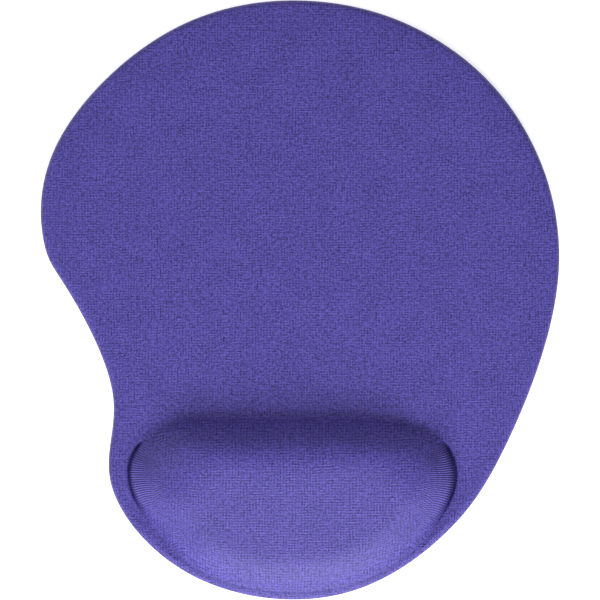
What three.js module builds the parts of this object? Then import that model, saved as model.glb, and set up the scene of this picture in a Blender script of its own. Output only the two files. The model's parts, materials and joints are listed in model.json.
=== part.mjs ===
// A mouse pad with a built-in gel wrist rest, 260 x 225 x 20 mm, as a stack of bonded layers.
// From the desk up: a rubber base sheet, its bond film, a foam board with a shallow seat, the bond film
// of the gel pouch, the pouch itself (lower film, gel, domed upper film), the cover's bond film, and a
// stretch knit cover that rolls over the rim and is turned under as a hem around the base sheet.
// Millimetres. +X is the user's right, +Y points away from the user, +Z is up. The origin is on the
// desk, at the middle of the pad's length and width.
import * as THREE from "three";

// Overall size
const PAD_LENGTH = 260;
const PAD_WIDTH = 225;
const PAD_THICKNESS = 5;
const REST_RISE = 15.5;

// Layers, from the desk up. A glue line of clear space is left between neighbours.
const BASE_THICKNESS = 0.8;
const BOND_FILM_THICKNESS = 0.15;
const COVER_THICKNESS = 0.8;
const POUCH_FILM_THICKNESS = 0.25;
const GLUE_LINE = 0.05;

// Rim and hem
const RIM_ROLL = 2.6;
const RIM_WIDEST_Z = 2;
const HEM_UNDERSIDE_Z = 0.2;
const HEM_WIDTH = 5;
const HEM_TO_BASE_GAP = 0.4;

// Pouch
const FLANGE_WIDTH = 1.2;
const SEAT_CLEARANCE = 0.4;
const SEAT_DEPTH = 0.8;
const GEL_INSET = 3;

// Top of the rest: level as far as the ridge, then sloping down towards the user
const RIDGE_Y = -70;
const TOP_SLOPE = Math.tan(THREE.MathUtils.degToRad(9));
const RIDGE_SOFTNESS = 3.5;

// Edge of the rest, one kind for each way that it faces. A wall of the given width rises as
// (1 - (1 - u) ^ bulge) ^ steepness, u being the share of the width, after a fillet at its foot.
const EDGE_KINDS = {
  back: { width: 17.5, bulge: 2.5, steepness: 1, fillet: 1.2 },
  front: { width: 15, bulge: 2.8, steepness: 1, fillet: 1.6 },
  left: { width: 26, bulge: 1.6, steepness: 0.45, fillet: 0.1 },
  right: { width: 19, bulge: 2.2, steepness: 0.65, fillet: 0.1 },
};

// The slack back corners: which way the outline faces at each, and how deep and far it is let down
const CORNERS = [
  { facing: new THREE.Vector2(-0.7, 0.7), drop: 0.45, reach: 16 },
  { facing: new THREE.Vector2(0.7, 0.7), drop: 0.36, reach: 17 },
];

// Cages of the two closed outlines, anticlockwise, which a cubic B-spline follows
const PAD_CAGE = [
  [121, 12], [102, 77], [64, 115], [13, 134], [-56, 127], [-116, 67], [-112, 18],
  [-105, 13], [-73, -45], [-92, -77], [-52, -126], [19, -135], [66, -102], [88, -71],
];
const REST_CAGE = [
  [68, -68], [55, -49], [-34, -52], [-54, -50], [-75, -64],
  [-74, -85], [-60, -101], [-40, -126], [31, -130], [68, -88],
];
const REST_CENTRE = new THREE.Vector2(-3, -84);

// The Y share of the outline's normal between which an end turns into the back, or into the front
const BACK_SPAN = [0.4, 0.99];
const FRONT_SPAN = [0.3, 0.85];

// Mesh steps
const AROUND = 72;
const OUTLINE_STEPS = 720;
const RIM_ANGLES = [-90, -45, 0, 30, 60, 90].map((angle) => THREE.MathUtils.degToRad(angle));
const WALL_INSETS = [0, FLANGE_WIDTH, GEL_INSET, 7, 13];
const DOME_SHARES = [0.35, 0.7];

// Heights that follow from the layers
const BASE_FILM_Z = BASE_THICKNESS + GLUE_LINE;
const FOAM_UNDERSIDE_Z = BASE_FILM_Z + BOND_FILM_THICKNESS + GLUE_LINE;
const COVER_FILM_DEPTH = COVER_THICKNESS + GLUE_LINE;
const FOAM_DEPTH = COVER_FILM_DEPTH + BOND_FILM_THICKNESS + GLUE_LINE;
const POUCH_INSIDE_DEPTH = FOAM_DEPTH + POUCH_FILM_THICKNESS;
const GEL_DEPTH = POUCH_INSIDE_DEPTH + GLUE_LINE;
const SEAT_Z = PAD_THICKNESS - FOAM_DEPTH - SEAT_DEPTH;
const POUCH_BOND_Z = SEAT_Z + GLUE_LINE;
const LOWER_FILM_Z = POUCH_BOND_Z + BOND_FILM_THICKNESS + GLUE_LINE;
const GEL_UNDERSIDE_Z = LOWER_FILM_Z + POUCH_FILM_THICKNESS + GLUE_LINE;

// A closed, smooth outline: the uniform cubic B-spline of a cage of points.
class CageOutline extends THREE.Curve {
  constructor(cage) {
    super();
    this.cage = cage;
  }

  getPoint(t, target = new THREE.Vector2()) {
    const corners = this.cage.length;
    const place = t * corners;
    const first = Math.floor(place);
    const u = place - first;
    const weights = [
      (1 - u) ** 3 / 6,
      (3 * u ** 3 - 6 * u ** 2 + 4) / 6,
      (-3 * u ** 3 + 3 * u ** 2 + 3 * u + 1) / 6,
      u ** 3 / 6,
    ];
    target.set(0, 0);
    weights.forEach((weight, k) => {
      const [x, y] = this.cage[(first + k) % corners];
      target.x += weight * x;
      target.y += weight * y;
    });
    return target;
  }
}

// Points along an outline.
function outlinePoints(cage) {
  const outline = new CageOutline(cage);
  return Array.from({ length: OUTLINE_STEPS }, (_, i) => outline.getPoint(i / OUTLINE_STEPS));
}

// Stretches the pad's points to its stated width and length, centred on the origin.
function fitToPad(points) {
  const box = new THREE.Box2().setFromPoints(points);
  const middle = box.getCenter(new THREE.Vector2());
  const size = box.getSize(new THREE.Vector2());
  const stretch = new THREE.Vector2(PAD_WIDTH / size.x, PAD_LENGTH / size.y);
  return points.map((p) => p.clone().sub(middle).multiply(stretch));
}

// The outward normals of a closed run of points.
function normalsOf(points) {
  return points.map((_, i) => {
    const before = points[(i + points.length - 1) % points.length];
    const after = points[(i + 1) % points.length];
    const along = after.clone().sub(before).normalize();
    return new THREE.Vector2(along.y, -along.x);
  });
}

// The place on an outline that a ray from the rest's centre meets, with its normal there.
function meetRay(outline, angle) {
  const ray = new THREE.Vector2(Math.cos(angle), Math.sin(angle));
  const { points, normals } = outline;
  for (let i = 0; i < points.length; i++) {
    const j = (i + 1) % points.length;
    const a = points[i].clone().sub(REST_CENTRE);
    const b = points[j].clone().sub(REST_CENTRE);
    const sideA = ray.cross(a);
    const sideB = ray.cross(b);
    if (sideA <= 0 && sideB > 0 && ray.dot(a) > 0) {
      const share = sideA / (sideA - sideB);
      const place = points[i].clone().lerp(points[j], share);
      const normal = normals[i].clone().lerp(normals[j], share).normalize();
      return { place, normal };
    }
  }
  throw new Error("the rest's centre doesn't see the whole outline");
}

// Angles around the rest's centre that share out the length of both outlines evenly.
function evenAngles(outlines) {
  const fine = Array.from({ length: OUTLINE_STEPS + 1 }, (_, i) => (i / OUTLINE_STEPS) * 2 * Math.PI);
  const shares = fine.map(() => 0);
  for (const outline of outlines) {
    const met = fine.map((angle) => meetRay(outline, angle).place);
    const lengths = [0];
    for (let i = 1; i < met.length; i++) lengths.push(lengths[i - 1] + met[i].distanceTo(met[i - 1]));
    lengths.forEach((length, i) => (shares[i] += length / lengths.at(-1) / outlines.length));
  }
  return Array.from({ length: AROUND }, (_, k) => {
    const share = k / AROUND;
    const i = shares.findIndex((s) => s > share) - 1;
    const within = (share - shares[i]) / (shares[i + 1] - shares[i]);
    return THREE.MathUtils.lerp(fine[i], fine[i + 1], within);
  });
}

function outlineOf(points) {
  return { points, normals: normalsOf(points) };
}

const padOutline = outlineOf(fitToPad(outlinePoints(PAD_CAGE)));
const restOutline = outlineOf(outlinePoints(REST_CAGE));
const angles = evenAngles([padOutline, restOutline]);
const padPlaces = angles.map((angle) => meetRay(padOutline, angle));
const restPlaces = angles.map((angle) => meetRay(restOutline, angle));

// How far a point is inside the rest's outline, and which way the outline faces there.
function edgeNear(point) {
  let nearest = 0;
  restOutline.points.forEach((p, i) => {
    if (p.distanceToSquared(point) < restOutline.points[nearest].distanceToSquared(point)) nearest = i;
  });
  const normal = restOutline.normals[nearest];
  return { inside: restOutline.points[nearest].clone().sub(point).dot(normal), normal };
}

// The outline's point where it faces a given way.
function pointFacing(direction) {
  const reach = restOutline.normals.map((normal) => normal.dot(direction));
  return restOutline.points[reach.indexOf(Math.max(...reach))];
}

const cornerTips = CORNERS.map(({ facing }) => pointFacing(facing));

// What the slack corners leave of the height at a point.
function cornerShare(point) {
  return CORNERS.reduce((share, { drop, reach }, i) => {
    const away = point.distanceTo(cornerTips[i]) / reach;
    return share * (1 - drop * Math.exp(-away * away));
  }, 1);
}

// The rest's height above the pad, for a surface that lies the given depth under the outer one.
function restHeight(point, depth) {
  const { inside, normal } = edgeNear(point);
  if (inside <= depth) return 0;
  const back = THREE.MathUtils.smoothstep(normal.y, ...BACK_SPAN);
  const front = THREE.MathUtils.smoothstep(-normal.y, ...FRONT_SPAN);
  const { back: b, front: f, left, right } = EDGE_KINDS;
  const end = normal.x < 0 ? left : right;
  const mixed = (key) => back * b[key] + front * f[key] + (1 - back - front) * end[key];
  const climb = Math.hypot(inside - depth, mixed("fillet")) - mixed("fillet");
  const share = Math.min(climb / mixed("width"), 1);
  const wall = (1 - (1 - share) ** mixed("bulge")) ** mixed("steepness");
  const past = RIDGE_Y - point.y;
  const fall = TOP_SLOPE * RIDGE_SOFTNESS * Math.log1p(Math.exp(past / RIDGE_SOFTNESS));
  return (REST_RISE - fall) * wall * cornerShare(point);
}

// A closed ring of points at one height, moved inwards from an outline.
function insetRing(places, inset, z) {
  return places.map(({ place, normal }) => {
    const p = place.clone().addScaledVector(normal, -inset);
    return new THREE.Vector3(p.x, p.y, z);
  });
}

// The rings of the rim, which rolls as half an ellipse from its underside to its top.
function rimRings(depth, undersideZ) {
  return RIM_ANGLES.map((angle) => {
    const inset = RIM_ROLL - (RIM_ROLL - depth) * Math.cos(angle);
    const half = angle < 0 ? RIM_WIDEST_Z - undersideZ : PAD_THICKNESS - depth - RIM_WIDEST_Z;
    return insetRing(padPlaces, inset, RIM_WIDEST_Z + half * Math.sin(angle));
  });
}

// Lifts a ring on to the surface that lies the given depth under the outer one.
function onSurface(ring, depth) {
  return ring.map((p) => {
    const z = PAD_THICKNESS - depth + restHeight(new THREE.Vector2(p.x, p.y), depth);
    return new THREE.Vector3(p.x, p.y, z);
  });
}

// The rings of the domed rest at a depth, from its foot inwards, starting at the given inset.
function domeRings(depth, firstInset = 0) {
  const insets = WALL_INSETS.filter((inset) => inset >= firstInset);
  const walls = insets.map((inset) => insetRing(restPlaces, inset, 0));
  const centre = new THREE.Vector3(REST_CENTRE.x, REST_CENTRE.y, 0);
  const tops = DOME_SHARES.map((share) => walls.at(-1).map((p) => p.clone().lerp(centre, share)));
  return [...walls, ...tops].map((ring) => onSurface(ring, depth));
}

// The point that closes a disc of rings: over the rest's centre, on the surface at that depth.
function domePole(depth) {
  return onSurface([new THREE.Vector3(REST_CENTRE.x, REST_CENTRE.y, 0)], depth)[0];
}

function flatPole(z) {
  return new THREE.Vector3(REST_CENTRE.x, REST_CENTRE.y, z);
}

// A closed solid from two discs of rings, joined along their first rings. The outer disc faces up
// or out, the inner one down or in.
function discSolid(outer, outerPole, inner, innerPole) {
  const points = [...outer.flat(), outerPole, ...inner.flat(), innerPole];
  const innerStart = outer.length * AROUND + 1;
  const faces = [];
  const addDisc = (start, count, flip) => {
    const pole = start + count * AROUND;
    const add = (a, b, c) => faces.push(a, flip ? c : b, flip ? b : c);
    for (let i = 0; i < AROUND; i++) {
      const next = (i + 1) % AROUND;
      for (let ring = 0; ring + 1 < count; ring++) {
        const here = start + ring * AROUND;
        add(here + i, here + next, here + AROUND + next);
        add(here + i, here + AROUND + next, here + AROUND + i);
      }
      add(pole - AROUND + i, pole - AROUND + next, pole);
    }
  };
  addDisc(0, outer.length, false);
  addDisc(innerStart, inner.length, true);
  for (let i = 0; i < AROUND; i++) {
    const next = (i + 1) % AROUND;
    faces.push(innerStart + i, innerStart + next, next);
    faces.push(innerStart + i, next, i);
  }
  const geometry = new THREE.BufferGeometry().setFromPoints(points);
  geometry.setIndex(faces);
  geometry.computeVertexNormals();
  return geometry;
}

// A flat sheet cut to a ring's outline, lying at a height.
function flatSheet(ring, z, thickness) {
  const shape = new THREE.Shape(ring.map((p) => new THREE.Vector2(p.x, p.y)));
  const geometry = new THREE.ExtrudeGeometry(shape, { depth: thickness, bevelEnabled: false });
  return geometry.translate(0, 0, z);
}

function makeBase() {
  const outline = insetRing(padPlaces, HEM_WIDTH + HEM_TO_BASE_GAP, 0);
  return flatSheet(outline, 0, BASE_THICKNESS);
}

function makeBaseFilm() {
  const outline = insetRing(padPlaces, HEM_WIDTH + HEM_TO_BASE_GAP, 0);
  return flatSheet(outline, BASE_FILM_Z, BOND_FILM_THICKNESS);
}

// The foam board: a rolled edge, a level top, and the seat for the pouch.
function makeFoamBoard() {
  const topZ = PAD_THICKNESS - FOAM_DEPTH;
  const upper = [
    ...rimRings(FOAM_DEPTH, FOAM_UNDERSIDE_Z).slice(1),
    insetRing(restPlaces, -SEAT_CLEARANCE, topZ),
    insetRing(restPlaces, -SEAT_CLEARANCE, SEAT_Z),
  ];
  const lower = [insetRing(padPlaces, RIM_ROLL, FOAM_UNDERSIDE_Z)];
  return discSolid(upper, flatPole(SEAT_Z), lower, flatPole(FOAM_UNDERSIDE_Z));
}

function makePouchBondFilm() {
  return flatSheet(insetRing(restPlaces, 0, 0), POUCH_BOND_Z, BOND_FILM_THICKNESS);
}

function makeLowerFilm() {
  return flatSheet(insetRing(restPlaces, 0, 0), LOWER_FILM_Z, POUCH_FILM_THICKNESS);
}

function makeGel() {
  const upper = domeRings(GEL_DEPTH, GEL_INSET);
  const underside = insetRing(restPlaces, GEL_INSET, GEL_UNDERSIDE_Z);
  return discSolid(upper, domePole(GEL_DEPTH), [underside], flatPole(GEL_UNDERSIDE_Z));
}

function makeUpperFilm() {
  const outer = domeRings(FOAM_DEPTH);
  const inner = domeRings(POUCH_INSIDE_DEPTH);
  return discSolid(outer, domePole(FOAM_DEPTH), inner, domePole(POUCH_INSIDE_DEPTH));
}

function makeCoverFilm() {
  const [top, underside] = [COVER_FILM_DEPTH, COVER_FILM_DEPTH + BOND_FILM_THICKNESS];
  const [outer, inner] = [top, underside].map((depth) => [
    insetRing(padPlaces, RIM_ROLL, PAD_THICKNESS - depth),
    ...domeRings(depth),
  ]);
  return discSolid(outer, domePole(top), inner, domePole(underside));
}

// The knit cover, from the raw edge of its hem, round the rim and over the pad and the rest.
function makeCover() {
  const hemTopZ = HEM_UNDERSIDE_Z + COVER_THICKNESS;
  const outer = [
    insetRing(padPlaces, HEM_WIDTH, HEM_UNDERSIDE_Z),
    ...rimRings(0, HEM_UNDERSIDE_Z),
    ...domeRings(0),
  ];
  const inner = [
    insetRing(padPlaces, HEM_WIDTH, hemTopZ),
    ...rimRings(COVER_THICKNESS, hemTopZ),
    ...domeRings(COVER_THICKNESS),
  ];
  return discSolid(outer, domePole(0), inner, domePole(COVER_THICKNESS));
}

const part = new THREE.Group();
part.name = "gel_mouse_pad";

function addPiece(name, geometry, color, roughness) {
  const material = new THREE.MeshStandardMaterial({ color, roughness, metalness: 0 });
  const mesh = new THREE.Mesh(geometry, material);
  mesh.name = name;
  part.add(mesh);
}

addPiece("anti_slip_base", makeBase(), 0x1d1d20, 0.9);
addPiece("base_bond_film", makeBaseFilm(), 0xe4dfcf, 0.5);
addPiece("foam_board", makeFoamBoard(), 0x2b2b2f, 0.95);
addPiece("pouch_bond_film", makePouchBondFilm(), 0xe4dfcf, 0.5);
addPiece("gel_pouch_lower_film", makeLowerFilm(), 0xd9dbe6, 0.3);
addPiece("gel_core", makeGel(), 0xc4cbe8, 0.2);
addPiece("gel_pouch_upper_film", makeUpperFilm(), 0xd9dbe6, 0.3);
addPiece("cover_bond_film", makeCoverFilm(), 0xe4dfcf, 0.5);
addPiece("knit_cover", makeCover(), 0x584ea0, 0.95);

export default part;
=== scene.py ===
# %% [markdown]
# # A gel mouse pad with a built-in wrist rest
# The real object is a stack of bonded layers. A rubber sheet grips the desk, a foam board gives the pad
# its outline, a pouch of gel sits on the board near the user, and one stretch knit cloth covers
# everything, rolls over the rim and is turned under as a hem.
# The design already fixes the size and the layers, so this lesson only makes the surfaces. It starts
# by loading that design as a frame and measuring it, because every later size is worked out from it.

import json
import math

import bpy
import numpy as np
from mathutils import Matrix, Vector
from mathutils.bvhtree import BVHTree
from mathutils.kdtree import KDTree


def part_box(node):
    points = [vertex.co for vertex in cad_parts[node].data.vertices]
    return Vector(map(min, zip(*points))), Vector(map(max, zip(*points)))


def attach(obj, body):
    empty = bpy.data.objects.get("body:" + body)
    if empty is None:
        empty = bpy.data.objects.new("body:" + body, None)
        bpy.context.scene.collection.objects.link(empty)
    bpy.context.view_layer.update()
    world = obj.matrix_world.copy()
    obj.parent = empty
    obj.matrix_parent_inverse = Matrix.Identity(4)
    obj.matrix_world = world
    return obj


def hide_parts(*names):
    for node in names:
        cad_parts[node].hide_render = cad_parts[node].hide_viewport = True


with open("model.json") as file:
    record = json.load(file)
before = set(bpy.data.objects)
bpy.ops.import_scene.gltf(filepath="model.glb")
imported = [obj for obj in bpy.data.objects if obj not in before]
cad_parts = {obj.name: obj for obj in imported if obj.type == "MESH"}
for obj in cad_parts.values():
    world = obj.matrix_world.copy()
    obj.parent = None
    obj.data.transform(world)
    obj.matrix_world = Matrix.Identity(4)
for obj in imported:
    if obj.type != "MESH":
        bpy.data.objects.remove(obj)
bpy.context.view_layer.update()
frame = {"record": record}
BODY = "root"
MM = 0.001

cover_low, cover_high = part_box("knit_cover")
base_low, base_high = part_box("anti_slip_base")
foam_low, foam_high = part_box("foam_board")
mounts = {mount["name"]: mount for mount in frame["record"]["mounts"]}
PAD_WIDTH = cover_high.x - cover_low.x
PAD_LENGTH = cover_high.y - cover_low.y
PAD_TOP = mounts["mousing_surface"]["pos_m"][2]
REST_TOP = cover_high.z
HEM_UNDERSIDE = cover_low.z
print(f"pad {PAD_WIDTH / MM:.1f} x {PAD_LENGTH / MM:.1f} mm, "
      f"{PAD_TOP / MM:.1f} mm thick, {REST_TOP / MM:.1f} mm over the rest")

# %% [markdown]
# ## Two outlines
# The pad is round at the far end, pulled in at a waist for the thumb, and narrower at the front. The
# rest is a D with its straight side towards the mouse. A cubic B-spline writes each of them down as a
# few cage points, and its curve follows them with no kink anywhere, which matters because cloth shows
# every kink as a shadow. The cage points weren't chosen by hand: a least-squares fit made them, and
# they are rounded to whole millimetres.

# %% Closed outlines
PAD_CAGE = [
    (121, 12), (102, 77), (64, 115), (13, 134), (-56, 127), (-116, 67), (-112, 18),
    (-105, 13), (-73, -45), (-92, -77), (-52, -126), (19, -135), (66, -102), (88, -71),
]
REST_CAGE = [
    (68, -68), (55, -49), (-34, -52), (-54, -50), (-75, -64),
    (-74, -85), (-60, -101), (-40, -126), (31, -130), (68, -88),
]
REST_CENTRE = np.array([-3.0, -84.0]) * MM
OUTLINE_STEPS = 2880


def spline_weights(u):
    """The four weights of a uniform cubic B-spline, at the share u of the way along a span."""
    return ((1 - u) ** 3 / 6, (3 * u**3 - 6 * u**2 + 4) / 6,
            (-3 * u**3 + 3 * u**2 + 3 * u + 1) / 6, u**3 / 6)


def closed_spline(cage, count):
    """Points along the closed cubic B-spline of a cage."""
    cage = np.array(cage, float)
    place = np.arange(count) / count * len(cage)
    first = np.floor(place).astype(int)
    weights = spline_weights((place - first)[:, None])
    return sum(w * cage[(first + k) % len(cage)] for k, w in enumerate(weights))


def normals_of(points):
    """Outward normals of a closed anticlockwise run of points."""
    along = np.roll(points, -1, axis=0) - np.roll(points, 1, axis=0)
    along /= np.linalg.norm(along, axis=1)[:, None]
    return np.stack([along[:, 1], -along[:, 0]], axis=1)


pad_line = closed_spline(PAD_CAGE, OUTLINE_STEPS)
low, high = pad_line.min(axis=0), pad_line.max(axis=0)
pad_line = (pad_line - (low + high) / 2) * np.array([PAD_WIDTH, PAD_LENGTH]) / (high - low)
rest_line = closed_spline(REST_CAGE, OUTLINE_STEPS) * MM
rest_normals = normals_of(rest_line)
print(f"the rest is {np.ptp(rest_line[:, 0]) / MM:.0f} x {np.ptp(rest_line[:, 1]) / MM:.0f} mm")

# %% [markdown]
# ## Rays that both outlines share
# The cover is one cloth, so its mesh should run without a break from the hem, round the rim, across
# the pad, and up over the rest. Rings of vertices do that: every ring has the same number of points,
# and each point lies on a ray from the middle of the rest. The rays are closest together at the two
# ends of the rest, where the stretched knit opens into fine ribs that need several points each.

# %% Rays and rings
COVER_RAYS = 1000
CORE_RAYS = 240
END_DENSITY = 6.0
PAD_SHARE = 0.2
END_FACING = 0.6
BACK_FACING = 0.95


def smoothstep(value, low, high):
    t = np.clip((value - low) / (high - low), 0, 1)
    return t * t * (3 - 2 * t)


def unit(rows):
    return rows / np.linalg.norm(rows, axis=1)[:, None]


def end_share(normals):
    """1 where an outline faces left or right, 0 where it faces the back or the front."""
    return 1 - smoothstep(np.abs(normals[:, 1]), END_FACING, BACK_FACING)


def along_rays(line, angles, values):
    """The values of an outline's points where rays from the rest's centre meet it."""
    offset = line - REST_CENTRE
    bearing = np.arctan2(offset[:, 1], offset[:, 0])
    order = np.argsort(bearing)
    met = [np.interp(angles, bearing[order], column[order], period=2 * np.pi) for column in values.T]
    return np.stack(met, axis=1)


def share_out(count):
    """Ray angles that share out both outlines, with more of them at the rest's ends."""
    fine = np.linspace(-np.pi, np.pi, OUTLINE_STEPS + 1)
    steps = [np.linalg.norm(np.diff(along_rays(line, fine, line), axis=0), axis=1)
             for line in (pad_line, rest_line)]
    facing = along_rays(rest_line, fine[1:], rest_normals)
    steps[1] *= 1 + (END_DENSITY - 1) * end_share(facing)
    pad_part, rest_part = (step / step.sum() for step in steps)
    share = np.concatenate([[0], np.cumsum(PAD_SHARE * pad_part + (1 - PAD_SHARE) * rest_part)])
    return np.interp(np.arange(count) / count, share, fine)


class Rays:
    """The points where one set of rays meets both outlines, with the outlines' normals there."""

    def __init__(self, count):
        angles = share_out(count)
        self.pad = along_rays(pad_line, angles, pad_line)
        self.pad_normal = unit(along_rays(pad_line, angles, normals_of(pad_line)))
        self.rest = along_rays(rest_line, angles, rest_line)
        self.rest_normal = unit(along_rays(rest_line, angles, rest_normals))


cover_rays = Rays(COVER_RAYS)
core_rays = Rays(CORE_RAYS)
closest = np.linalg.norm(np.diff(cover_rays.rest, axis=0), axis=1).min()
print(f"{COVER_RAYS} rays for the cover, {closest / MM:.2f} mm apart at the closest")

# %% [markdown]
# ## The height of the rest
# A gel pouch is a shallow pillow, higher near the mouse and sloping down towards the user. Its wall
# is different on each side: long and round at the back, low and short at the front, and at both ends
# steep at the very foot, where the cloth is pulled down, and gentle above it. One function of the
# distance from the outline covers all of them, with its numbers blended by the way the outline faces.
# The two back corners hold less gel, so the height is taken down round them.

# %% Raw height
REST_RISE = REST_TOP - PAD_TOP
RIDGE_Y = -68.5 * MM
RIDGE_SOFTNESS = 2.2 * MM
TOP_SLOPE = math.tan(math.radians(9))
CORNER_SPAN = (0.2, 0.8)
BACK_SPAN = (0.86, 0.99)
FRONT_SPAN = (0.3, 0.85)
EDGE_KINDS = {
    "back": dict(width=17.5 * MM, bulge=2.5, steepness=1.0, foot=0.6 * MM, start=0.0),
    "back_corner": dict(width=18 * MM, bulge=2.2, steepness=1.0, foot=1.2 * MM, start=0.0),
    "front": dict(width=13 * MM, bulge=3.4, steepness=1.0, foot=0.8 * MM, start=1.5 * MM),
    "left": dict(width=26 * MM, bulge=1.6, steepness=0.45, foot=0.05 * MM, start=0.0),
    "right": dict(width=19 * MM, bulge=2.2, steepness=0.65, foot=0.05 * MM, start=0.0),
}
CORNERS = (
    dict(facing=(-0.7, 0.7), drop=0.45, reach=16 * MM),
    dict(facing=(0.7, 0.7), drop=0.36, reach=17 * MM),
)

rest_tree = KDTree(OUTLINE_STEPS)
for i, (x, y) in enumerate(rest_line):
    rest_tree.insert((x, y, 0), i)
rest_tree.balance()


def nearest_on_rest(points):
    """For each point, the index of the nearest outline point and the distance inside the outline."""
    index = np.array([rest_tree.find((x, y, 0))[1] for x, y in points])
    inside = ((rest_line[index] - points) * rest_normals[index]).sum(axis=1)
    return index, inside


def corner_share(points):
    """What the two slack back corners leave of the height."""
    share = np.ones(len(points))
    for corner in CORNERS:
        tip = rest_line[np.argmax(rest_normals @ corner["facing"])]
        away = np.linalg.norm(points - tip, axis=1)
        share *= 1 - corner["drop"] * np.exp(-(away / corner["reach"]) ** 2)
    return share


def raw_rise(index, inside, points):
    """Height above the pad, from the nearest outline point and the distance inside it."""
    across, facing = rest_normals[index].T
    shares = {
        "back": smoothstep(facing, *BACK_SPAN),
        "front": smoothstep(-facing, *FRONT_SPAN),
    }
    ends = 1 - smoothstep(facing, *CORNER_SPAN) - shares["front"]
    shares["left"] = ends * (across < 0)
    shares["right"] = ends * (across >= 0)
    shares["back_corner"] = 1 - shares["back"] - shares["front"] - ends
    mixed = {size: sum(shares[kind] * EDGE_KINDS[kind][size] for kind in EDGE_KINDS)
             for size in EDGE_KINDS["back"]}
    climb = mixed["foot"] * np.logaddexp(0, (inside - mixed["start"]) / mixed["foot"])
    share = np.clip(climb / mixed["width"], 0, 1)
    wall = (1 - (1 - share) ** mixed["bulge"]) ** mixed["steepness"]
    past = (RIDGE_Y - points[:, 1]) / RIDGE_SOFTNESS
    fall = TOP_SLOPE * RIDGE_SOFTNESS * np.logaddexp(0, past)
    return (REST_RISE - fall) * wall * corner_share(points)


# %% [markdown]
# ## Taking the folds out of the height
# A height worked out from the nearest edge has a faint fold wherever two edges are equally near, like
# the hips of a roof. A stretched cloth has none. The height is therefore sampled on a grid, blurred,
# and read back through the same B-spline, whose surface has no corners. Only the foot keeps the raw
# height, so that its crease stays sharp.

# %% Height on a grid
GRID_STEP = 0.5 * MM
GRID_MARGIN = 6 * MM
BLUR = 2.6 * MM
RAW_WITHIN = 1.5 * MM
BLURRED_FROM = 8 * MM

grid_low = rest_line.min(axis=0) - GRID_MARGIN
grid_count = (np.ptp(rest_line, axis=0) + 2 * GRID_MARGIN) // GRID_STEP
grid_x, grid_y = (grid_low[k] + np.arange(int(grid_count[k])) * GRID_STEP for k in (0, 1))
grid_points = np.stack(np.meshgrid(grid_x, grid_y, indexing="ij"), axis=-1).reshape(-1, 2)
grid_shape = (len(grid_x), len(grid_y))
grid_index, grid_inside = nearest_on_rest(grid_points)


def blurred(field, size):
    """A field on the grid, blurred with a bell curve of the given size."""
    reach = int(3 * size / GRID_STEP)
    bell = np.exp(-0.5 * (np.arange(-reach, reach + 1) * GRID_STEP / size) ** 2)
    bell /= bell.sum()
    for axis in (0, 1):
        field = np.apply_along_axis(np.convolve, axis, field, bell, mode="same")
    return field


def read_grid(field, points):
    """The value of a field at any points, through the B-spline surface of the grid."""
    place = np.clip((points - grid_low) / GRID_STEP, 1, np.array(grid_shape) - 3)
    first = np.floor(place).astype(int)
    across, along = (spline_weights((place - first)[:, k]) for k in (0, 1))
    total = np.zeros(len(points))
    for i, across_weight in enumerate(across):
        for j, along_weight in enumerate(along):
            total += across_weight * along_weight * field[first[:, 0] + i - 1, first[:, 1] + j - 1]
    return total


raw_grid = raw_rise(grid_index, grid_inside, grid_points).reshape(grid_shape)
smooth_grid = blurred(raw_grid, BLUR)
swell_grid = np.zeros(grid_shape)


def rise(points, depth=0.0):
    """Height of the rest above the pad, for a surface that lies depth under the cover's outer one."""
    index, inside = nearest_on_rest(points)
    raw = raw_rise(index, inside - depth, points)
    smooth = smoothstep(inside, RAW_WITHIN, BLURRED_FROM)
    return raw * (1 - smooth) + read_grid(smooth_grid, points) * smooth + read_grid(swell_grid, points)


print(f"height grid {grid_shape[0]} x {grid_shape[1]}, highest point "
      f"{smooth_grid.max() / MM:.1f} mm above the pad")

# %% [markdown]
# ## From rings to a mesh
# Two discs of rings, one facing out and one facing in, are joined along their first rings. That makes
# one closed solid with real thickness, and its edge is a real edge. Every soft layer of the stack is
# made this way, so the function is written once.

# %% Mesh from rings
def inset_ring(places, normals, inset, z):
    """A closed ring of points at one height, moved inwards from an outline."""
    plan = places - normals * np.reshape(inset, (-1, 1))
    return np.column_stack([plan, np.broadcast_to(z, len(plan))])


def disc_faces(start, rings, around, flip):
    here = start + np.arange(rings - 1)[:, None] * around + np.arange(around)
    after = start + np.arange(rings - 1)[:, None] * around + (np.arange(around) + 1) % around
    quads = np.stack([here, after, after + around, here + around], axis=-1).reshape(-1, 4)
    last = start + (rings - 1) * around
    centre = start + rings * around
    fan = [(last + i, last + (i + 1) % around, centre) for i in range(around)]
    faces = quads.tolist() + fan
    return [tuple(reversed(face)) for face in faces] if flip else [tuple(face) for face in faces]


def new_piece(name, points, faces):
    mesh = bpy.data.meshes.new(name)
    mesh.from_pydata(np.asarray(points).tolist(), [], faces)
    mesh.validate()
    mesh.shade_smooth()
    piece = bpy.data.objects.new(name, mesh)
    bpy.context.scene.collection.objects.link(piece)
    return piece


def ring_solid(name, outer, outer_pole, inner, inner_pole):
    """A closed piece from an outer disc of rings and an inner one."""
    around = len(outer[0])
    points = np.vstack([*outer, outer_pole[None, :], *inner, inner_pole[None, :]])
    inner_start = len(outer) * around + 1
    faces = disc_faces(0, len(outer), around, False)
    faces += disc_faces(inner_start, len(inner), around, True)
    for i in range(around):
        after = (i + 1) % around
        faces.append((inner_start + i, inner_start + after, after, i))
    return new_piece(name, points, faces)


def coordinates(mesh):
    flat = np.empty(len(mesh.vertices) * 3, np.float32)
    mesh.vertices.foreach_get("co", flat)
    return flat.reshape(-1, 3).astype(float)


# %% [markdown]
# ## Short calls for nodes
# Materials and Geometry Nodes are both trees of nodes, and a script that builds them line by line is
# long and hard to read. This small class adds a node, links or sets its inputs, and names the sums.

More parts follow.
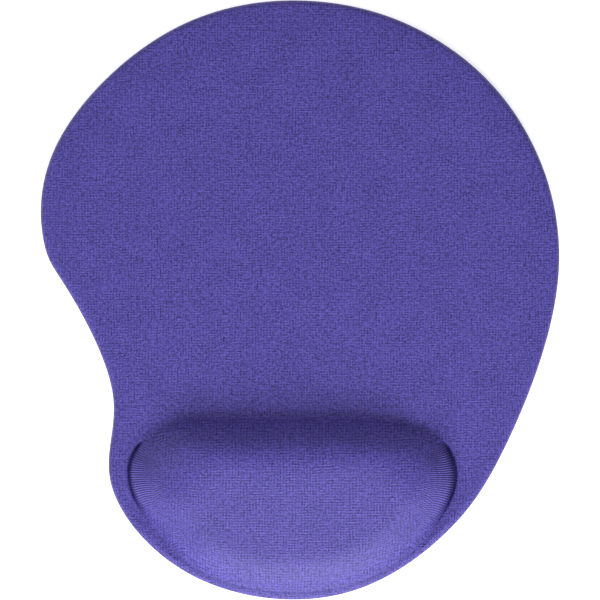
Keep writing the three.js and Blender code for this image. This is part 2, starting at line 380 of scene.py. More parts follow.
# %% Node helper
class Nodes:
    """Short calls for building a node tree."""

    def __init__(self, tree):
        self.tree = tree

    def add(self, kind, inputs=None, **settings):
        node = self.tree.nodes.new(kind)
        for key, value in settings.items():
            setattr(node, key, value)
        for key, value in (inputs or {}).items():
            if isinstance(value, bpy.types.NodeSocket):
                self.tree.links.new(value, node.inputs[key])
            else:
                node.inputs[key].default_value = value
        return node

    def maths(self, operation, a, b=0.0, c=0.0):
        return self.add("ShaderNodeMath", {0: a, 1: b, 2: c}, operation=operation).outputs[0]

    def times(self, *factors):
        product = factors[0]
        for factor in factors[1:]:
            product = self.maths("MULTIPLY", product, factor)
        return product

    def plus(self, *terms):
        total = terms[0]
        for term in terms[1:]:
            total = self.maths("ADD", total, term)
        return total

    def wave(self, turns):
        """A cosine of a number of turns."""
        return self.maths("COSINE", self.maths("MULTIPLY", turns, 2 * math.pi))

    def vector(self, x, y, z=0.0):
        return self.add("ShaderNodeCombineXYZ", {0: x, 1: y, 2: z}).outputs[0]

    def parts(self, vector):
        return self.add("ShaderNodeSeparateXYZ", {0: vector}).outputs


# %% [markdown]
# ## The gel pouch
# The pouch is two plastic films welded round a flange and filled with gel, so it has the tight, even
# curve of something under pressure. A lofted dome alone looks carved. The pouch is lofted a little too
# low, remeshed to even faces, and then inflated by a short cloth simulation whose flange is held, as
# the weld holds it. A cap on how far a point may move keeps the size that the design gives it.

# %% Loft and remesh the pouch
COVER_THICKNESS = 0.8 * MM
GLUE_FILM_DEPTHS = (0.85 * MM, 1.0 * MM)
SEAT_DEPTH = 0.8 * MM
POUCH_DEPTH = 1.1 * MM
POUCH_FOOT_INSET = 0.8 * MM
POUCH_OVER_SEAT = 0.45 * MM
POUCH_UNDERSIDE = foam_high.z - SEAT_DEPTH + POUCH_OVER_SEAT
POUCH_START = 0.98
POUCH_VOXEL = 2.2 * MM
CORE_WALL_INSETS = np.array([0.8, 1.4, 2.2, 3.2, 4.6, 6.4, 8.6, 11, 14]) * MM
CORE_DOME_STEPS = 7


def dome_plans(rays, insets, steps):
    """Plans of the rings of a dome: set distances up its wall, then even shares to its centre."""
    plans = [rays.rest - rays.rest_normal * inset for inset in insets]
    shares = np.linspace(0, 1, steps + 1)[1:-1]
    return plans + [plans[-1] + (REST_CENTRE - plans[-1]) * share for share in shares]


def dome_point(depth, share=1.0):
    height = rise(REST_CENTRE[None, :], depth)[0]
    return np.array([*REST_CENTRE, PAD_TOP - depth + height * share])


pouch_rings = [np.column_stack([plan, PAD_TOP - POUCH_DEPTH + rise(plan, POUCH_DEPTH) * POUCH_START])
               for plan in dome_plans(core_rays, CORE_WALL_INSETS, CORE_DOME_STEPS)]
underside = inset_ring(core_rays.rest, core_rays.rest_normal, POUCH_FOOT_INSET, POUCH_UNDERSIDE)
pouch = ring_solid("gel_pouch", pouch_rings, dome_point(POUCH_DEPTH, POUCH_START),
                   [underside], np.array([*REST_CENTRE, POUCH_UNDERSIDE]))


def plain_mesh(piece):
    """Replaces a piece's mesh with what its modifiers make, and takes the modifiers off."""
    evaluated = piece.evaluated_get(bpy.context.evaluated_depsgraph_get())
    made = bpy.data.meshes.new_from_object(evaluated)
    piece.modifiers.clear()
    old, piece.data = piece.data, made
    made.name = piece.name
    bpy.data.meshes.remove(old)


remesh = pouch.modifiers.new("even_faces", "REMESH")
remesh.mode = "VOXEL"
remesh.voxel_size = POUCH_VOXEL
plain_mesh(pouch)
print(f"pouch: {len(pouch.data.vertices)} vertices before it is inflated")

# %% Inflate the pouch
GEL_PRESSURE = 400.0
GEL_FRAMES = 20
MOST_SWELL = 0.4 * MM
WELD_HEIGHT = 1.6 * MM
FILM_MASS = 0.02
FILM_STRETCH = 12
FILM_SHEAR = 6
FILM_BEND = 0.3
SIMULATION_QUALITY = 6


def inflate(piece, held, most):
    """Blows a piece up by a cloth simulation with some points held, and caps how far it moves."""
    start = coordinates(piece.data)
    group = piece.vertex_groups.new(name="weld")
    group.add(np.flatnonzero(held).tolist(), 1.0, "ADD")
    cloth = piece.modifiers.new("pressure", "CLOTH")
    settings = cloth.settings
    settings.quality = SIMULATION_QUALITY
    settings.mass = FILM_MASS
    settings.tension_stiffness = FILM_STRETCH
    settings.compression_stiffness = FILM_STRETCH
    settings.shear_stiffness = FILM_SHEAR
    settings.bending_stiffness = FILM_BEND
    settings.use_pressure = True
    settings.uniform_pressure_force = GEL_PRESSURE
    settings.vertex_group_mass = group.name
    settings.effector_weights.gravity = 0
    for step in range(1, GEL_FRAMES + 1):
        bpy.context.scene.frame_set(step)
    evaluated = piece.evaluated_get(bpy.context.evaluated_depsgraph_get())
    shift = coordinates(evaluated.data) - start
    piece.modifiers.remove(cloth)
    bpy.context.scene.frame_set(1)
    length = np.linalg.norm(shift, axis=1)
    shift *= np.minimum(1, most / np.maximum(length, 1e-9))[:, None]
    piece.data.vertices.foreach_set("co", (start + shift).astype(np.float32).ravel())
    piece.data.update()
    return length


pouch_start = coordinates(pouch.data)
moved = inflate(pouch, pouch_start[:, 2] < POUCH_UNDERSIDE + WELD_HEIGHT, MOST_SWELL)
print(f"the pouch wanted to move {moved.mean() / MM:.2f} mm on average, "
          f"{moved.max() / MM:.2f} mm at most")

# %% [markdown]
# ## What the pouch does to the cloth
# The cover is glued down over the pouch, so it takes the pouch's inflated shape. Rays shot down on to
# the inflated pouch, set against the height it was lofted at, measure how far each place has risen.
# Blurred a little, that difference is added to the height that every layer above the pouch reads.

# %% Read the swell
SWELL_BLUR = 2.4 * MM
SWELL_FROM = 1.5 * MM
SWELL_FULL = 7 * MM


def tops(piece, points):
    """The height at which rays shot down at some points meet a piece, or nan where they miss."""
    tree = BVHTree.FromPolygons(coordinates(piece.data).tolist(),
                                [tuple(face.vertices) for face in piece.data.polygons])
    down = Vector((0, 0, -1))
    hits = [tree.ray_cast(Vector((x, y, 2 * REST_TOP)), down)[0] for x, y in points]
    return np.array([hit.z if hit else np.nan for hit in hits])


planned = PAD_TOP - POUCH_DEPTH + rise(grid_points, POUCH_DEPTH)
swell = np.nan_to_num(tops(pouch, grid_points) - planned)
swell *= smoothstep(grid_inside, SWELL_FROM, SWELL_FULL)
swell_grid = blurred(swell.reshape(grid_shape), SWELL_BLUR)
print(f"swell from {swell_grid.min() / MM:.2f} to {swell_grid.max() / MM:.2f} mm")

# %% [markdown]
# ## Rings of the cover
# From the raw edge of the hem the rings go under the rim, round it as half an ellipse, across the flat
# pad, and up the dome. At both ends of the rest the cloth dips into a narrow crease just before it
# climbs, because the glue pulls it down between the pouch and the board. Round the front it is looser,
# and only a soft valley shows. The inner face follows the same way one cloth thickness deeper, with
# fewer rings because nobody sees it.

# %% Ring builders
HEM_TO_BASE_GAP = 0.4 * MM
BASE_INSET = base_low.x - cover_low.x
HEM_WIDTH = BASE_INSET - HEM_TO_BASE_GAP
RIM_ROLL = 2.6 * MM
RIM_WIDEST = 2 * MM
CREASE_DEPTH = 1.5 * MM
CREASE_REACH = 0.6 * MM
CREASE_SPAN = {"left": (0.6, 0.75, 0.3, 0.7), "right": (0.45, 0.75, 0.3, 0.7)}
GROOVE_DEPTH = 0.36 * MM
GROOVE_FADE = 0.2
GROOVE_REACH = 2.0 * MM
GROOVE_OUTSIDE = 0.7 * MM
INNER_CREASE = 0.45
NEAR_FOOT = np.array([2.6, 1.8, 1.2, 0.8, 0.5, 0.25]) * MM
NEAR_FOOT_ROOM = 1.3


def crease_share(normals):
    """1 where the cloth is pulled into a crease at the ends of the rest, 0 at its back and front."""
    across, facing = normals.T
    shares = [(1 - smoothstep(facing, *span[:2])) * (1 - smoothstep(-facing, *span[2:]))
              for span in CREASE_SPAN.values()]
    return np.where(across < 0, *shares)


def groove(plan):
    """Depth of the soft valley that runs round the front, just outside the rest."""
    index, inside = nearest_on_rest(plan)
    forward = -rest_normals[index, 1]
    share = smoothstep(forward, *FRONT_SPAN) * (1 - GROOVE_FADE * smoothstep(forward, FRONT_SPAN[1], 1))
    return GROOVE_DEPTH * share * np.exp(-((inside + GROOVE_OUTSIDE) / GROOVE_REACH) ** 2)


def cover_height(plan, depth=0.0):
    """Height of the cover's outer face, or of a surface that lies depth under it."""
    index, inside = nearest_on_rest(plan)
    crease = CREASE_DEPTH * crease_share(rest_normals[index]) * np.exp(-(inside / CREASE_REACH) ** 2)
    crease *= INNER_CREASE if depth else 1
    return PAD_TOP - depth + rise(plan, depth) - crease - groove(plan)


def on_cover(plan, depth=0.0):
    return np.column_stack([plan, cover_height(plan, depth)])


def rim_rings(rays, depth, underside, steps):
    """Rings round the rim, from its underside to its top."""
    rings = []
    for angle in np.linspace(-np.pi / 2, np.pi / 2, steps):
        inset = RIM_ROLL - (RIM_ROLL - depth) * math.cos(angle)
        half = RIM_WIDEST - underside if angle < 0 else PAD_TOP - depth - RIM_WIDEST
        ring = inset_ring(rays.pad, rays.pad_normal, inset, RIM_WIDEST + half * math.sin(angle))
        ring[:, 2] -= groove(ring[:, :2]) * max(math.sin(angle), 0)
        rings.append(ring)
    return rings


def land_rings(rays, depth, steps, near):
    """Rings across the flat pad, then closer ones along the foot of the rest."""
    outer = rays.pad - rays.pad_normal * RIM_ROLL
    gap = np.linalg.norm(outer - rays.rest, axis=1)
    squeeze = np.minimum(1, gap / (NEAR_FOOT_ROOM * NEAR_FOOT[0]))[:, None]
    close = [rays.rest + rays.rest_normal * distance * squeeze for distance in near]
    shares = np.linspace(0, 1, steps + 2)[1:-1]
    plans = [outer + (close[0] - outer) * share for share in shares] + close
    return [on_cover(plan, depth) for plan in plans]


# %% Cover mesh
RIM_STEPS = 13
LAND_STEPS = 10
DOME_STEPS = 15
WALL_INSETS = np.array([0, 0.1, 0.25, 0.45, 0.7, 1, 1.4, 1.9, 2.5, 3.2, 4,
                        5, 6.1, 7.3, 8.6, 10, 11.6, 13.4]) * MM
INNER_INSETS = WALL_INSETS[[0, 4, 7, 10, 13, 16]]
INNER_RIM_STEPS = 7
INNER_DOME_STEPS = 6

hem_insets = np.linspace(HEM_WIDTH, RIM_ROLL, 4)[:-1]
outer = [inset_ring(cover_rays.pad, cover_rays.pad_normal, inset, HEM_UNDERSIDE) for inset in hem_insets]
outer += rim_rings(cover_rays, 0, HEM_UNDERSIDE, RIM_STEPS)
outer += land_rings(cover_rays, 0, LAND_STEPS, NEAR_FOOT)
dome_start = len(outer) * COVER_RAYS
outer += [on_cover(plan) for plan in dome_plans(cover_rays, WALL_INSETS, DOME_STEPS)]
dome_end = len(outer) * COVER_RAYS + 1

hem_top = HEM_UNDERSIDE + COVER_THICKNESS
inner = [inset_ring(cover_rays.pad, cover_rays.pad_normal, HEM_WIDTH, hem_top)]
inner += rim_rings(cover_rays, COVER_THICKNESS, hem_top, INNER_RIM_STEPS)
inner += land_rings(cover_rays, COVER_THICKNESS, 1, NEAR_FOOT[[3]])
inner += [on_cover(plan, COVER_THICKNESS)
          for plan in dome_plans(cover_rays, INNER_INSETS, INNER_DOME_STEPS)]
cover = ring_solid("knit_cover_cloth", outer, dome_point(0), inner, dome_point(COVER_THICKNESS))
print(f"cover: {len(cover.data.vertices)} vertices, {len(cover.data.polygons)} faces")

# %% [markdown]
# ## Where each stitch lies
# A knit is a grid of stitches in rows and columns. On the flat pad the grid is just X and Y. At the ends
# of the rest the cloth is pulled round the dome, so its rows bend until they meet the crease squarely.
# Three attributes on the mesh hold this: the place of each point on the knitted cloth, how far the rows
# have opened into ribs there, and how much painted shade darkens the crease. The finish and the
# relief both read them, so they always agree.

# %% Knit places
ROW_BEND = 16 * MM
RIBS_FULL = 4 * MM
RIBS_END = 18 * MM
RIBS_FOOT = 0.5 * MM
RIB_FACING = (0.4, 0.75)
# How far the painted shade along the crease reaches outside the rest, and how far inside it on the left and
# on the right.
PAINTED_SHADE_OUTSIDE = 1.0 * MM
PAINTED_SHADE_INSIDE = (0.9 * MM, 2.0 * MM)

points = coordinates(cover.data)
on_rest = np.zeros(len(points))
on_rest[dome_start:dome_end] = 1
rest_rows = np.flatnonzero(on_rest)
plan = points[rest_rows, :2]
index, inside = nearest_on_rest(plan)

steps = np.linalg.norm(np.roll(rest_line, -1, axis=0) - rest_line, axis=1)
rest_run = np.concatenate([[0], np.cumsum(steps)])
rest_girth = rest_run[-1]


def run_from(tip):
    """Signed distance along the outline from a tip, for each nearest outline point."""
    run = rest_run[index] - rest_run[tip]
    return (run + rest_girth / 2) % rest_girth - rest_girth / 2


left_tip, right_tip = np.argmin(rest_line[:, 0]), np.argmax(rest_line[:, 0])
along_end = np.where(plan[:, 0] > REST_CENTRE[0],
                     rest_line[right_tip, 1] + run_from(right_tip),
                     rest_line[left_tip, 1] - run_from(left_tip))
bend = (1 - smoothstep(inside, 0, ROW_BEND)) * end_share(rest_normals[index])
place = np.column_stack([points[:, :2], on_rest])
place[rest_rows, 1] += (along_end - plan[:, 1]) * bend

rib = np.zeros(len(points))
rib[rest_rows] = smoothstep(inside, 0, RIBS_FOOT) * (1 - smoothstep(inside, RIBS_FULL, RIBS_END))
rib[rest_rows] *= 1 - smoothstep(np.abs(rest_normals[index, 1]), *RIB_FACING)

# Painted shade: the colour darkens along the crease at both ends of the rest and reaches further up the right
# wall, in place of the shadow that falls there.
near, within = nearest_on_rest(points[:, :2])
reach = np.where(within < 0, PAINTED_SHADE_OUTSIDE, np.where(rest_normals[near, 0] < 0, *PAINTED_SHADE_INSIDE))
painted_shade = crease_share(rest_normals[near]) * np.exp(-(within / reach) ** 2)

attribute = cover.data.attributes.new("knit_place", "FLOAT_VECTOR", "POINT")
attribute.data.foreach_set("vector", place.astype(np.float32).ravel())
for name, values in (("rib_share", rib), ("painted_shade_share", painted_shade)):
    attribute = cover.data.attributes.new(name, "FLOAT", "POINT")
    attribute.data.foreach_set("value", values.astype(np.float32))
print(f"{(rib > 0.5).sum()} points of the cover lie on ribs")

# %% [markdown]
# ## The knit as a finish
# Seen from arm's length, a fine jersey is a field of short dashes: rows of stitches that catch the light
# for a few millimetres and then fade, with columns showing through between them. A plain checker of
# waves looks printed. Here waves give the rows and columns, slow noise turns each of them up and down
# in patches, and stretched noise breaks them into dashes. The same sum drives the colour and the bump.
# In the crease the colour is mixed towards a dark navy. This is painted shade for the shadow in the fold.

# %% Knit finish
ROW_PITCH = 1.12 * MM
COLUMN_PITCH = 1.25 * MM
REST_STRETCH = 1.04
RIB_PITCH = 1.12 * MM
GRAIN_SCALES = {"bow": 90.0, "row_patch": 190.0, "column_patch": 240.0,
                "grain": 620.0, "fuzz": 1500.0, "blotch": 75.0}
DASH_STRETCH = (0.7, 1.6)
BAR_STRETCH = (1.8, 0.7)
BOW = 1.5
SLANT = (0.5, 0.2)
GRID_DEPTH = (0.36, 0.46)
CONTRAST = (0.61, 0.54)
DASH_WEIGHT, BAR_WEIGHT, GRAIN_WEIGHT, FUZZ_WEIGHT = 1.6, 1.0, 1.3, 3.0
RIB_WEIGHT, BLOTCH_WEIGHT = 0.80, 0.36
# FOLD_SHADE is how far the painted shade takes the colour towards the dark navy in the crease.
RIB_PALENESS, FOLD_SHADE = 0.2, 0.9
KNIT_DARK = (0.006, 0.004, 0.086, 1)
KNIT_LIGHT = (0.084, 0.060, 0.358, 1)
KNIT_STRETCHED = (0.090, 0.072, 0.290, 1)
# The dark navy of the painted shade in the crease.
KNIT_PAINTED_SHADE = (0.002, 0.0, 0.085, 1)


def new_material(name):
    material = bpy.data.materials.new(name)
    material.use_nodes = True
    material.node_tree.nodes.clear()
    return material, Nodes(material.node_tree)


def clouds(n, vector, scale, detail=2.0):
    """Noise from 0 to 1."""
    node = n.add("ShaderNodeTexNoise", {"Vector": vector, "Scale": scale, "Detail": detail})
    return node.outputs["Fac"]


def noise(n, vector, scale, detail=2.0):
    """Noise about zero."""
    return n.maths("SUBTRACT", clouds(n, vector, scale, detail), 0.5)


def stretch_range(n, value, low, high):
    """Maps noise about zero to a range, reaching its ends where the noise is strong."""
    node = n.add("ShaderNodeMapRange", {"Value": value, "From Min": -0.15, "From Max": 0.15,
                                        "To Min": low, "To Max": high})
    return node.outputs[0]


def flat_to_rest(n, on_rest, pair):
    """The first number of a pair on the flat pad, and the second on the rest."""
    return n.maths("MULTIPLY_ADD", on_rest, pair[1] - pair[0], pair[0])


def knit_finish():
    material, n = new_material("knit_cloth")
    place = n.add("ShaderNodeAttribute", attribute_name="knit_place").outputs["Vector"]
    ribs = n.add("ShaderNodeAttribute", attribute_name="rib_share").outputs["Fac"]
    painted_shade = n.add("ShaderNodeAttribute", attribute_name="painted_shade_share").outputs["Fac"]
    across, along, on_rest = n.parts(place)
    stretch = flat_to_rest(n, on_rest, (1.0, REST_STRETCH))
    columns = n.maths("DIVIDE", across, n.times(stretch, COLUMN_PITCH))
    rows = n.maths("DIVIDE", along, n.times(stretch, ROW_PITCH))
    bow = n.times(noise(n, place, GRAIN_SCALES["bow"], 3.0), BOW)
    loose = n.maths("SUBTRACT", 1.0, ribs)

    row_patch = stretch_range(n, noise(n, place, GRAIN_SCALES["row_patch"]), 0.2, 1.0)
    column_patch = stretch_range(n, noise(n, place, GRAIN_SCALES["column_patch"]), 1.0, 0.1)
    slant = n.times(n.maths("PINGPONG", columns, 0.5), flat_to_rest(n, on_rest, SLANT))
    row_wave = n.times(n.wave(n.plus(rows, slant, bow)), row_patch, loose)
    column_wave = n.times(n.wave(n.plus(columns, bow)), column_patch, loose)
    rib_wave = n.times(n.wave(n.maths("DIVIDE", along, RIB_PITCH)), ribs)

    dash_place, bar_place = (
        n.vector(n.times(columns, wide), n.times(rows, long), layer)
        for (wide, long), layer in ((DASH_STRETCH, on_rest), (BAR_STRETCH, 7.0)))
    dashes = noise(n, dash_place, 1.0, 1.0)
    bars = noise(n, bar_place, 1.0, 1.0)
    grain = noise(n, place, GRAIN_SCALES["grain"], 1.0)
    fuzz = noise(n, place, GRAIN_SCALES["fuzz"], 1.0)
    blotch = noise(n, place, GRAIN_SCALES["blotch"], 4.0)
    grid_depth = flat_to_rest(n, on_rest, GRID_DEPTH)

    relief = n.plus(n.times(row_wave, grid_depth), n.times(column_wave, grid_depth),
                    n.times(dashes, DASH_WEIGHT), n.times(bars, BAR_WEIGHT),
                    n.times(grain, GRAIN_WEIGHT), n.times(fuzz, FUZZ_WEIGHT))
    tone = n.plus(0.5, n.times(relief, flat_to_rest(n, on_rest, CONTRAST)),
                  n.times(rib_wave, RIB_WEIGHT), n.times(blotch, BLOTCH_WEIGHT))
    shades = n.add("ShaderNodeMix", {"Factor": tone, "A": KNIT_DARK, "B": KNIT_LIGHT}, data_type="RGBA")
    worn = n.add("ShaderNodeMix", {"Factor": n.times(ribs, RIB_PALENESS), "A": shades.outputs["Result"],
                                   "B": KNIT_STRETCHED}, data_type="RGBA")
    # Painted shade: the colour is mixed towards the dark navy along the crease.
    shaded_in_crease = n.add("ShaderNodeMix", {"Factor": n.times(painted_shade, FOLD_SHADE), "A": worn.outputs["Result"],
                                     "B": KNIT_PAINTED_SHADE}, data_type="RGBA")
    bump = n.add("ShaderNodeBump", {"Height": relief, "Strength": 0.5, "Distance": 0.12 * MM})
    shader = n.add("ShaderNodeBsdfPrincipled", {
        "Base Color": shaded_in_crease.outputs["Result"], "Normal": bump.outputs[0], "Roughness": 0.60,
        "Specular IOR Level": 0.42, "Sheen Weight": 0.05, "Sheen Roughness": 0.4})
    n.add("ShaderNodeOutputMaterial", {"Surface": shader.outputs[0]})
    return material


knit = knit_finish()
print(f"{knit.name}: rows {ROW_PITCH / MM:.2f} mm apart, ribs {RIB_PITCH / MM:.2f} mm apart")

# %% [markdown]
# ## Ribs as real relief
# At both ends the stretched rows stand up as fine ribs that run into the crease. They repeat along the
# outline, so Geometry Nodes make them: a wave of the knit's own rows pushes each point along its
# normal, scaled by how far the rows have opened there.

# %% Geometry Nodes helper
def geometry_tree(name, sizes):
    """A tree with a Geometry input and output and named inputs for its sizes."""
    tree = bpy.data.node_groups.new(name, "GeometryNodeTree")
    tree.interface.new_socket("Geometry", in_out="INPUT", socket_type="NodeSocketGeometry")
    for label, kind in sizes.items():
        tree.interface.new_socket(label, in_out="INPUT", socket_type="NodeSocket" + kind)
    tree.interface.new_socket("Geometry", in_out="OUTPUT", socket_type="NodeSocketGeometry")
    n = Nodes(tree)
    return tree, n, n.add("NodeGroupInput").outputs


def close_tree(n, geometry, material):
    """Ends a tree: real geometry, one material, and the way out."""
    real = n.add("GeometryNodeRealizeInstances", {0: geometry}).outputs[0]
    painted = n.add("GeometryNodeSetMaterial", {"Geometry": real, "Material": material}).outputs[0]
    n.add("NodeGroupOutput", {0: painted})


def run_tree(piece, tree, values):
    """Runs a tree on a piece with the given inputs, and keeps the result as a plain mesh."""
    modifier = piece.modifiers.new(tree.name, "NODES")
    modifier.node_group = tree
    for item in tree.interface.items_tree:
        if item.in_out == "INPUT" and item.name in values:
            modifier[item.identifier] = values[item.name]
    plain_mesh(piece)


# %% Rib relief
RIB_DEPTH = 0.2 * MM


def rib_tree():
    tree, n, given = geometry_tree("knit_ribs", {"Rib pitch": "Float", "Rib depth": "Float",
                                                 "Cloth": "Material"})
    place = n.add("GeometryNodeInputNamedAttribute", {"Name": "knit_place"}, data_type="FLOAT_VECTOR")
    share = n.add("GeometryNodeInputNamedAttribute", {"Name": "rib_share"}, data_type="FLOAT")
    turns = n.maths("DIVIDE", n.parts(place.outputs[0])[1], given["Rib pitch"])
    push = n.times(n.wave(turns), share.outputs[0], given["Rib depth"])
    normal = n.add("GeometryNodeInputNormal").outputs[0]
    offset = n.add("ShaderNodeVectorMath", {0: normal, "Scale": push}, operation="SCALE").outputs[0]
    moved = n.add("GeometryNodeSetPosition", {"Geometry": given["Geometry"], "Offset": offset})
    close_tree(n, moved.outputs[0], given["Cloth"])
    return tree


run_tree(cover, rib_tree(), {"Rib pitch": RIB_PITCH, "Rib depth": RIB_DEPTH, "Cloth": knit})
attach(cover, BODY)
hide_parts("knit_cover")
print(f"cover with ribs: {len(cover.data.polygons)} faces")

# %% [markdown]
# ## Gel and film
# The inflated mesh becomes two pieces. The film is its outer skin with a wall turned inwards by
# Solidify, and the gel is the same shape drawn in along its normals until it clears that wall. One
# subdivision first makes both round.

# %% Pouch film and gel finishes
POUCH_WALL = 0.2 * MM
GEL_DRAWN_IN = 0.3 * MM


def placed_material(name):
    """A new material with its nodes, and the place of each point on the piece."""
    material, n = new_material(name)
    return material, n, n.add("ShaderNodeTexCoord").outputs["Object"]


def cells(n, place, size):
    return n.add("ShaderNodeTexVoronoi", {"Vector": place, "Scale": 1 / size}).outputs["Distance"]


def finish(n, colours, mix, height, strength, depth, surface):
    """Ends a material: two colours mixed, a bump of some strength and depth, and a surface."""
    colour = n.add("ShaderNodeMix", {"Factor": mix, "A": colours[0], "B": colours[1]}, data_type="RGBA")
    bump = n.add("ShaderNodeBump", {"Height": height, "Strength": strength, "Distance": depth})
    shader = n.add("ShaderNodeBsdfPrincipled", {
        "Base Color": colour.outputs["Result"], "Normal": bump.outputs[0], **surface})
    n.add("ShaderNodeOutputMaterial", {"Surface": shader.outputs[0]})


def clear_finish(name, pale, deep, roughness, bubble_size, bubble_depth):
    """A clear soft plastic with cloudy patches and fine bubbles or dimples."""
    material, n, place = placed_material(name)
    finish(n, (deep, pale), mix=clouds(n, place, 45.0, 4.0), height=cells(n, place, bubble_size),
           strength=0.4, depth=bubble_depth,
           surface={"Roughness": roughness, "Transmission Weight": 0.55, "IOR": 1.45})
    return material


film_finish = clear_finish("pouch_film", pale=(0.80, 0.82, 0.88, 1), deep=(0.66, 0.69, 0.78, 1),
                           roughness=0.28, bubble_size=2.0 * MM, bubble_depth=0.05 * MM)
gel_finish = clear_finish("soft_gel", pale=(0.56, 0.60, 0.85, 1), deep=(0.40, 0.45, 0.74, 1),
                          roughness=0.18, bubble_size=1.1 * MM, bubble_depth=0.10 * MM)

rounded = pouch.modifiers.new("rounded", "SUBSURF")
rounded.levels = rounded.render_levels = 1
plain_mesh(pouch)
pouch_skin = coordinates(pouch.data)
pouch_normals = np.array([vertex.normal for vertex in pouch.data.vertices])
gel = new_piece("gel_fill", pouch_skin - pouch_normals * GEL_DRAWN_IN,
                [tuple(face.vertices) for face in pouch.data.polygons])
gel.data.materials.append(gel_finish)

wall = pouch.modifiers.new("film_wall", "SOLIDIFY")
wall.thickness = POUCH_WALL
wall.offset = -1
plain_mesh(pouch)
pouch.data.materials.clear()
pouch.data.materials.append(film_finish)
for piece, nodes, slot in ((gel, ["gel_core"], "gel"),
                           (pouch, ["gel_pouch_upper_film", "gel_pouch_lower_film"], "pouch_film")):
    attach(piece, BODY)
    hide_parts(*nodes)
    print(f"{piece.name}: {len(piece.data.polygons)} faces, "
          f"top at {coordinates(piece.data)[:, 2].max() / MM:.1f} mm")

# %% [markdown]
# ## Foam board and glue film
# The board is cut from closed-cell foam, with a rolled edge and a shallow seat that the pouch drops
# into. The film that bonds the cover follows the cover's inner face, so it reads the same heights as
# the cover, deeper by the cloth and a glue line.

# %% Foam board
FOAM_DEPTH = PAD_TOP - foam_high.z
SEAT_EDGE = (1.6 * MM, 0.6 * MM)
FOAM_RIM_STEPS = 9
FOAM_CELL = 1 / 2600


def foam_finish():
    material, n, place = placed_material("closed_cell_foam")
    tone = n.plus(n.times(cells(n, place, FOAM_CELL), 0.5), n.times(clouds(n, place, 420.0, 5.0), 0.6))
    finish(n, ((0.010, 0.010, 0.012, 1), (0.050, 0.050, 0.056, 1)), mix=tone, height=tone,
           strength=0.8, depth=0.15 * MM, surface={"Roughness": 0.92})
    return material


seat_z = foam_high.z - SEAT_DEPTH
foam_outer = rim_rings(core_rays, FOAM_DEPTH, foam_low.z, FOAM_RIM_STEPS)[1:]
foam_outer += [inset_ring(core_rays.rest, core_rays.rest_normal, -distance, z)
               for distance, z in zip(SEAT_EDGE, (foam_high.z, seat_z))]
foam_inner = [inset_ring(core_rays.pad, core_rays.pad_normal, RIM_ROLL, foam_low.z)]
foam = ring_solid("foam_board_core", foam_outer, np.array([*REST_CENTRE, seat_z]),
                  foam_inner, np.array([*REST_CENTRE, foam_low.z]))
foam.data.materials.append(foam_finish())
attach(foam, BODY)
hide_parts("foam_board")
print(f"foam board {(foam_high.z - foam_low.z) / MM:.1f} mm thick, seat {SEAT_DEPTH / MM:.1f} mm deep")

# %% Glue films
def glue_finish():
    material, n, place = placed_material("glue_film")
    smears = clouds(n, place, 120.0, 5.0)
    finish(n, ((0.52, 0.47, 0.34, 1), (0.80, 0.76, 0.64, 1)), mix=smears, height=smears,
           strength=0.5, depth=0.05 * MM, surface={"Roughness": 0.45})
    return material


glue = glue_finish()
film_faces = []
for depth in GLUE_FILM_DEPTHS:
    rings = [inset_ring(core_rays.pad, core_rays.pad_normal, RIM_ROLL, PAD_TOP - depth)]
    rings += land_rings(core_rays, depth, 1, NEAR_FOOT[[3]])
    rings += [on_cover(plan, depth) for plan in dome_plans(core_rays, INNER_INSETS, INNER_DOME_STEPS)]
    film_faces += [rings, dome_point(depth)]
film = ring_solid("cover_glue_film", *film_faces)
film.data.materials.append(glue)
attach(film, BODY)
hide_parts("cover_bond_film")
for name in ("base_bond_film", "pouch_bond_film"):
    bpy.data.objects[name].material_slots[0].material = glue
print(f"{film.name} and two flat glue films, {(GLUE_FILM_DEPTHS[1] - GLUE_FILM_DEPTHS[0]) / MM:.2f} mm thick")

# %% [markdown]
# ## Grip sheet
# The underside is a rubber sheet moulded with small studs in staggered columns, so that it holds the
# desk without glue. Thousands of equal studs are a job for Geometry Nodes: a grid of points, every
# second column shifted by half a step, only the points inside the outline kept, and one small stud
# placed on each of them. The sheet itself is the outline pulled up to its thickness in the same tree.

# %% Grip sheet
STUD_PITCH = 3.4 * MM
STUD_ROOT = 0.95 * MM
STUD_TIP = 0.65 * MM
STUD_HEIGHT = 0.3 * MM
STUD_SINK = 0.05 * MM
STUD_SIDES = 8
STUD_MARGIN = 1.6 * MM
SHEET_OUTLINE_EVERY = 12


def rubber_finish():
    material, n, place = placed_material("grip_rubber")
    grain = clouds(n, place, 900.0, 4.0)
    finish(n, ((0.012, 0.012, 0.013, 1), (0.040, 0.040, 0.043, 1)), mix=clouds(n, place, 60.0, 5.0),
           height=grain, strength=0.5, depth=0.06 * MM,
           surface={"Roughness": n.maths("MULTIPLY_ADD", grain, 0.3, 0.5)})
    return material


